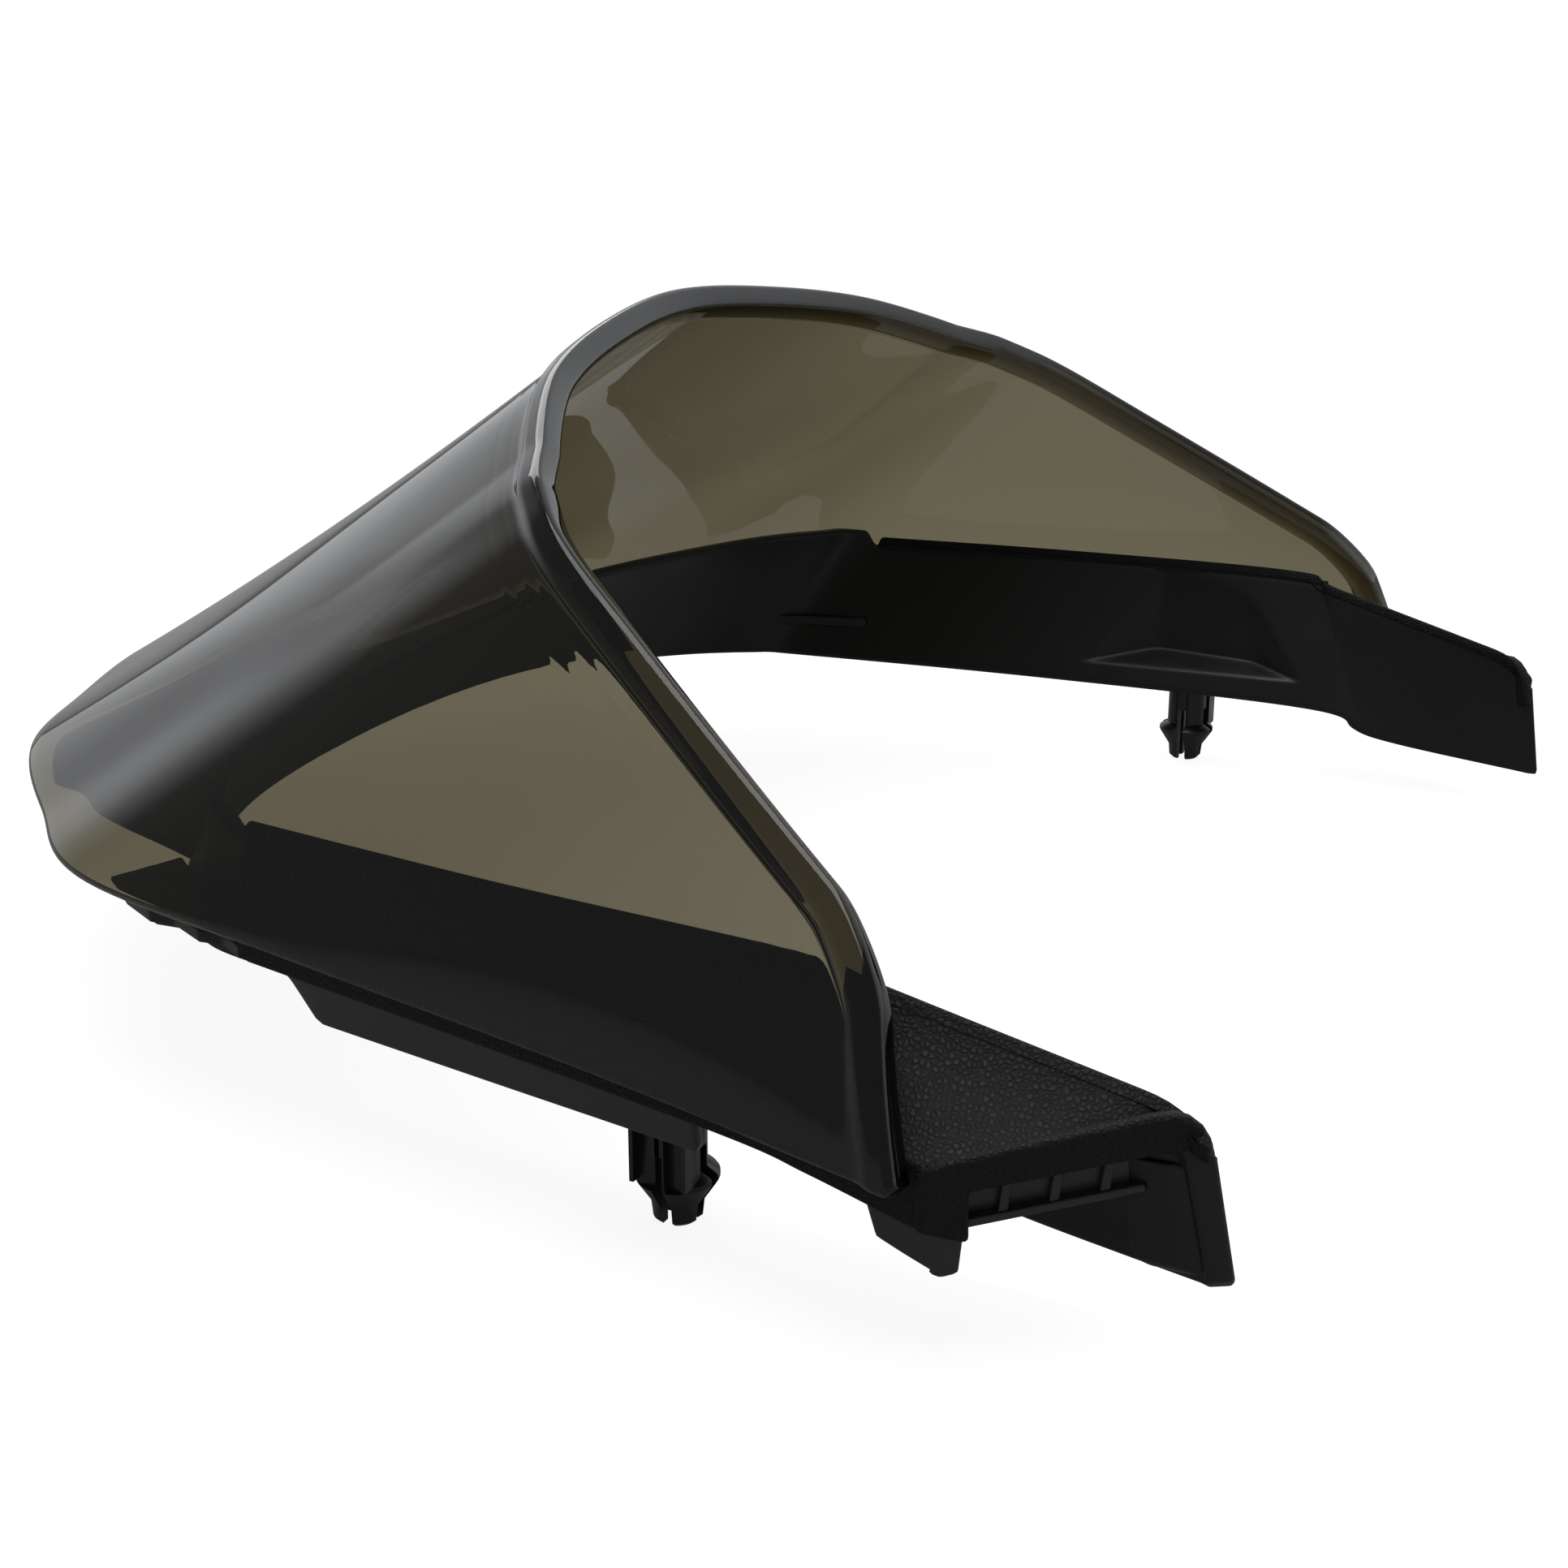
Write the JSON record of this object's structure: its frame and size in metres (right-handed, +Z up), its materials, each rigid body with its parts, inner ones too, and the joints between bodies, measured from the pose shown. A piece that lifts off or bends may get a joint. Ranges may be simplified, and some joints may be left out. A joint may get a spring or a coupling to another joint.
{
  "type": "motorcycle windshield screen",
  "caption": "Smoked windshield screen with a rolled rear lip on a U-shaped base with two grained arms and push-in fixing pins.",
  "frame": {"origin": "centre of the object's outline in plan, level with the tips of the fixing pins", "axes": "+X to the rider's left, +Y rearward, +Z up; the nose points to -Y"},
  "size_m": [0.3124, 0.28, 0.1232],
  "materials": {
    "smoked_screen": "polished smoked polycarbonate",
    "matte_frame": "fine matte moulded plastic",
    "grained_cover": "leather-grained moulded plastic",
    "grey_skirt": "smooth satin moulded plastic",
    "pin_plastic": "smooth semi-matte nylon",
    "screw_steel": "black coated steel"
  },
  "bodies": {
    "root": {"screen": "smoked_screen", "frame": "matte_frame", "cover_left": "grained_cover", "cover_right": "grained_cover", "skirt_left": "grey_skirt", "skirt_right": "grey_skirt", "foot_left": "grey_skirt", "foot_right": "grey_skirt", "snap_pin_left": "pin_plastic", "snap_pin_right": "pin_plastic", "screen_screws": "screw_steel"}
  },
  "joints": []
}
